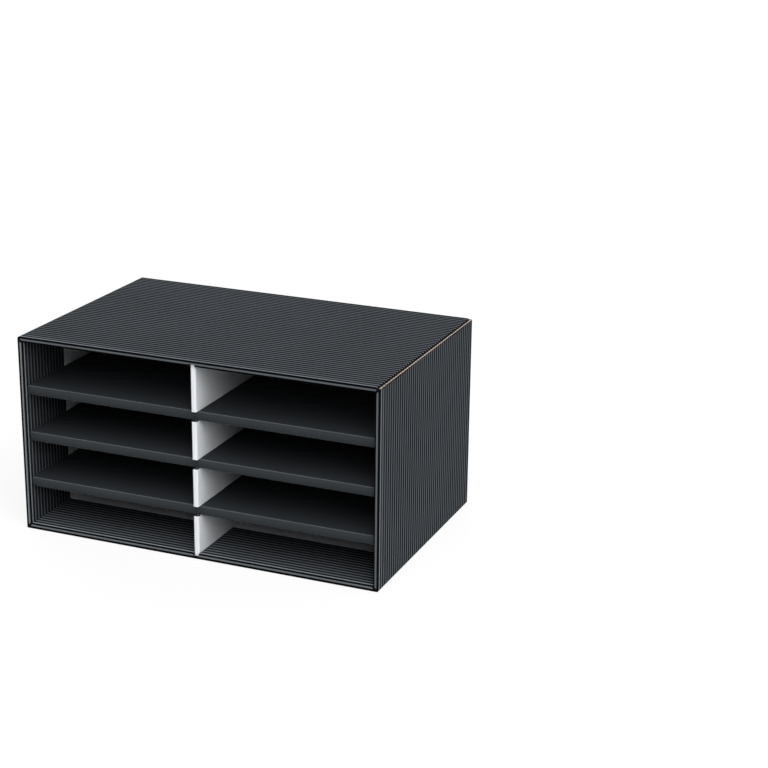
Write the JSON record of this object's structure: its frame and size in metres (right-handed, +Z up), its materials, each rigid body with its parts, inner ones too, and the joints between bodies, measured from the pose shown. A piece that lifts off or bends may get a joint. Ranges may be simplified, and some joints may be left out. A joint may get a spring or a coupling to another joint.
{
  "type": "literature organizer",
  "caption": "Low, wide corrugated-board organizer, open at the front: a sleeve with rolled front edges, lipped shelves and upright dividers that form flat compartments for paper.",
  "frame": {"origin": "middle of the rectangle the organizer stands on, on its underside", "axes": "+X to the right as seen from the open front, +Y from the open front to the closed back, +Z up"},
  "size_m": [0.4952, 0.3144, 0.2604],
  "materials": {
    "striped_board": "matt printed corrugated board, fine charcoal and grey stripes, raw kraft edges",
    "charcoal_board": "matt charcoal-printed corrugated board",
    "pale_board": "matt pale grey corrugated board"
  },
  "bodies": {
    "root": {"sleeve_left": "striped_board", "sleeve_right": "striped_board", "sleeve_bottom": "striped_board", "sleeve_top": "striped_board", "glue_flap": "striped_board", "frame_left": "pale_board", "frame_right": "pale_board", "frame_back": "pale_board", "shelf_1": "charcoal_board", "shelf_2": "charcoal_board", "shelf_3": "charcoal_board", "divider_1": "pale_board", "divider_2": "pale_board", "divider_3": "pale_board", "divider_4": "pale_board"}
  },
  "joints": []
}
